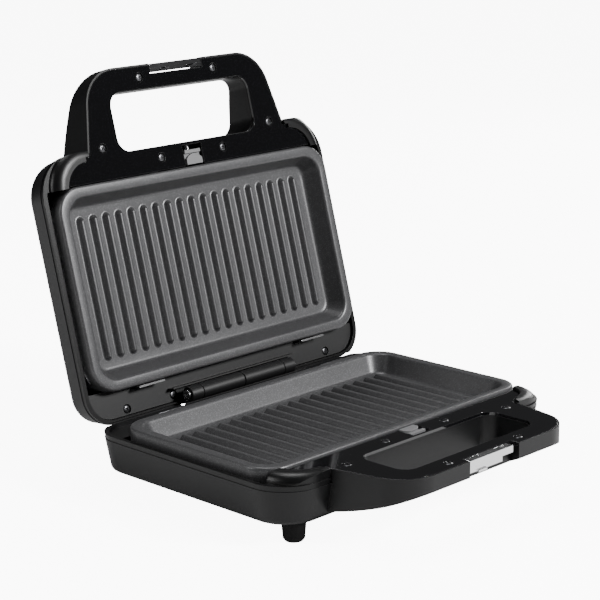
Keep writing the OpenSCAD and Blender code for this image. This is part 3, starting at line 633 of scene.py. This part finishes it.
# Section of a plate from its hollow's floor to the lower edge of its skirt:
# inset from the plate's outline, and height above the meeting plane
FLOOR_Z = -13.5
RIM_Z = -0.3
PLATE_SECTION = (
    (15.2, FLOOR_Z), (14.0, FLOOR_Z + 0.15), (13.0, FLOOR_Z + 0.6), (12.3, FLOOR_Z + 1.4),
    (11.9, FLOOR_Z + 2.4), (8.0, -2.7), (7.7, -1.8), (7.25, -1.0), (6.6, -0.5), (5.8, RIM_Z),
    (1.6, RIM_Z), (0.9, -0.45), (0.4, -0.85), (0.12, -1.5), (0.05, -3.4),
    (0.0, PLATE_LOW + 1.2), (0.1, PLATE_LOW + 0.4), (0.5, PLATE_LOW), (1.6, PLATE_LOW),
    (2.4, PLATE_LOW + 0.5), (2.6, PLATE_LOW + 1.5), (2.8, -3.4), (4.4, -2.9), (5.6, -4.2),
    (9.2, -14.0), (9.9, -15.4), (11.2, -16.1))
RIB_PITCH = 10.8
RIB_COUNT = 19
RIB_L = 95.0
RIB_ROUND = 3.3
RIB_ARC_STEPS = 12
# Section of a rib from under the floor to its crest: half width and height above the floor
RIB_SECTION = (
    (4.1, -0.3), (4.05, 0.02), (3.6, 0.08), (3.2, 0.25), (2.9, 0.6), (2.65, 1.1),
    (1.5, 2.75), (1.2, 3.1), (0.8, 3.32), (0.35, 3.4))


def grill_plate(half, body, node):
    """Cast plate: one lofted section with a rounded rim, a step and sloped walls to the floor."""
    bm = bmesh.new()
    rings = [rounded_ring(PLATE_W - 2 * inset, PLATE_D - 2 * inset, max(PLATE_R - inset * 0.7, 5.0), z)
             for inset, z in PLATE_SECTION]
    loft(bm, rings)
    plate = into_object(node + "_cast", bm, HALVES[half], 50)
    finish_piece(plate, body, "nonstick", "nonstick", node)
    points = [((i - (RIB_COUNT - 1) / 2) * RIB_PITCH, 0, FLOOR_Z) for i in range(RIB_COUNT)]
    template = rib_template()
    ribs = repeated(node + "_ribs", template, points, half, "nonstick")
    drop(template)
    finish_piece(ribs, body, "nonstick", "nonstick")


def rib_template():
    """A long rib with round ends whose sides flow into the floor."""
    bm = bmesh.new()
    straight = RIB_L / 2 - RIB_ROUND
    rings = []
    for r, z in RIB_SECTION:
        ring = []
        for end in (1, -1):
            for i in range(RIB_ARC_STEPS + 1):
                a = math.radians(180 * i / RIB_ARC_STEPS) + (0 if end == 1 else math.pi)
                ring.append((r * math.cos(a), end * straight + r * math.sin(a), z))
        rings.append(ring)
    loft(bm, rings)
    return into_object("rib_template", bm, Matrix(), 50)


# ---- screws ----

def screw_template(radius=2.9, height=1.5, cross=1.9):
    """Pan head with a four-armed recess; the head's top is at Z = 0."""
    bm = bmesh.new()
    arm = 0.36
    turned(bm, ((0.01, -height), (radius * 0.97, -height), (radius, -height + 0.25),
                (radius * 0.97, -0.75), (radius * 0.82, -0.25), (radius * 0.6, -0.05),
                (radius * 0.3, 0.0), (0.01, 0.0)), 28)
    head = into_object("screw_head", bm, Matrix(), 30)
    cutter = bmesh.new()
    for turn in (0, 90):
        spin = Matrix.Rotation(math.radians(turn), 4, "Z")
        corners = [spin @ Vector((x * s, y * t, z)) for z, s, t in ((0.3, 1, 1), (-1.1, 0.35, 0.6))
                   for x, y in ((-cross, -arm), (cross, -arm), (cross, arm), (-cross, arm))]
        loft(cutter, [corners[:4], corners[4:]])
    recess = into_object("screw_recess", cutter, Matrix(), 30)
    cut = head.modifiers.new("recess", "BOOLEAN")
    cut.operation = "DIFFERENCE"
    cut.use_self = True
    cut.object = recess
    settle(head)
    drop(recess)
    return head


def screw_points(node, half):
    """Middle and lower and upper ends of each screw in a node, ordered from left to right."""
    back = HALVES[half].inverted()
    bm = bmesh.new()
    bm.from_mesh(nodes[node].data)
    bm.transform(back)
    bmesh.ops.remove_doubles(bm, verts=bm.verts, dist=1e-3)
    left = set(bm.verts)
    spots = []
    while left:
        island, edge = set(), [left.pop()]
        while edge:
            vert = edge.pop()
            island.add(vert)
            for link in vert.link_edges:
                other = link.other_vert(vert)
                if other in left:
                    left.discard(other)
                    edge.append(other)
        low = [min(v.co[k] for v in island) for k in range(3)]
        high = [max(v.co[k] for v in island) for k in range(3)]
        spots.append(((low[0] + high[0]) / 2, (low[1] + high[1]) / 2, low[2], high[2]))
    bm.free()
    return sorted(spots, key=lambda spot: (round(spot[0], 1), round(spot[1], 1)))


def screws(node, half, material, upside_down=False):
    """Detailed screws in place of a node of plain ones: heads and threaded shanks."""
    spots = screw_points(node, half)
    length = spots[0][3] - spots[0][2]
    head = screw_template()
    shank = shank_template(length - 1.4)
    turn = (math.pi, 0, 0) if upside_down else (0, 0, 0)
    tops = [(x, y, low if upside_down else high) for x, y, low, high in spots]
    heads = repeated(node + "_heads", head, tops, half, material, turn, spread=3.0)
    shanks = repeated(node + "_shanks", shank, tops, half, material, turn)
    drop(head, shank)
    slot = slot_of(node)
    finish_piece(heads, body_of(node), material, slot, node)
    finish_piece(shanks, body_of(node), material, slot)


def shank_template(length, radius=1.4, pitch=0.9):
    """Self-tapping shank, from under the head to its point, as a profile of ridges."""
    profile = [(0.01, -1.3), (radius * 0.8, -1.3)]
    z = -1.6
    while z > -length:
        profile += [(radius * 0.72, z), (radius, z - pitch / 2)]
        z -= pitch
    profile += [(radius * 0.5, -length - 0.9), (0.01, -length - 1.3)]
    bm = bmesh.new()
    turned(bm, profile, 12)
    return into_object("screw_shank", bm, Matrix(), 60)


# ---- coil springs ----

WIRE_R = 0.3
SPRING_TURNS = 5
STEPS_PER_TURN = 20
WIRE_SIDES = 8

def coil_spring(node, half):
    """Round-wire compression spring along Y, in place of a plain sleeve."""
    back = HALVES[half].inverted()
    points = [back @ v.co for v in nodes[node].data.vertices]
    low = Vector(min(p[k] for p in points) for k in range(3))
    high = Vector(max(p[k] for p in points) for k in range(3))
    radius = (high.x - low.x) / 2 - WIRE_R
    steps = STEPS_PER_TURN * SPRING_TURNS
    bm = bmesh.new()
    rings = []
    for i in range(steps + 1):
        a = 2 * math.pi * SPRING_TURNS * i / steps
        y = low.y + WIRE_R + (high.y - low.y - 2 * WIRE_R) * i / steps
        outward = Vector((math.cos(a), 0, math.sin(a)))
        centre = Vector((0, y, (low.z + high.z) / 2)) + outward * radius
        rings.append([centre + outward * WIRE_R * math.cos(b) + Vector((0, WIRE_R * math.sin(b), 0))
                      for b in (2 * math.pi * k / WIRE_SIDES for k in range(WIRE_SIDES))])
    loft(bm, rings)
    spring = into_object(node + "_coil", bm, HALVES[half], 60)
    finish_piece(spring, body_of(node), "steel", slot_of(node), node)


# ---- putting it together ----

def dress_cad_nodes():
    """Materials for the CAD nodes that stay as they are."""
    kept = {
        "reflector": ("base_reflector", "lid_reflector"),
        "element": ("base_heating_element", "lid_heating_element"),
        "steel": ("base_element_clamps", "lid_element_clamps", "hinge_pin"),
        "ceramic": ("base_thermostat", "terminal_block", "lid_thermal_fuse"),
        "sleeve": ("base_wiring", "lid_wiring"),
        "lens": ("indicator_lenses",),
        "board": ("indicator_board",),
    }
    for material, names in kept.items():
        for name in names:
            data = nodes[name].data
            data.materials.clear()
            data.materials.append(MATERIALS[material])


def add_floor():
    bm = bmesh.new()
    bmesh.ops.create_grid(bm, x_segments=2, y_segments=2, size=FLOOR_HALF)
    floor = into_object("studio_floor", bm)
    floor.data.materials.append(studio_floor())


add_camera()
add_lights()
add_world()
add_floor()
dress_cad_nodes()

for half in HALVES:
    softened(half + "_housing", "housing", 0.6)
    softened(half + "_rim_frame", "frame", 0.5)
    softened(half + "_handle_cover", "cover", 0.45)
    softened(half + "_rear_strip", "strip", 0.35)
    softened(half + "_knuckles", "strip", 0.5)
    softened(half + "_plate_clips", "dark_steel" if half == "base" else "steel", 0.2, 2)
    softened(half + "_release_button", "button", 0.35)
    coil_spring(half + "_release_spring", half)

softened("base_bottom_cover", "underside", 0.4)
softened("latch_slide", "chrome", 0.2, 2)
softened("latch_keeper", "keeper_steel", 0.2, 2)
softened("cord_gland", "rubber", 0.4)
softened("front_feet", "rubber", 0.5)
softened("rear_feet", "rubber", 0.5)
softened("hinge_end_screws", "steel", 0.15, 2)

grill_plate("base", "lower_plate", "lower_grill_plate")
grill_plate("lid", "upper_plate", "upper_grill_plate")

for kind in ("cover", "strip"):
    for half in HALVES:
        screws(f"{half}_{kind}_screws", half, "dark_steel")
screws("bottom_screws", "base", "dark_steel", upside_down=True)

bpy.context.view_layer.update()
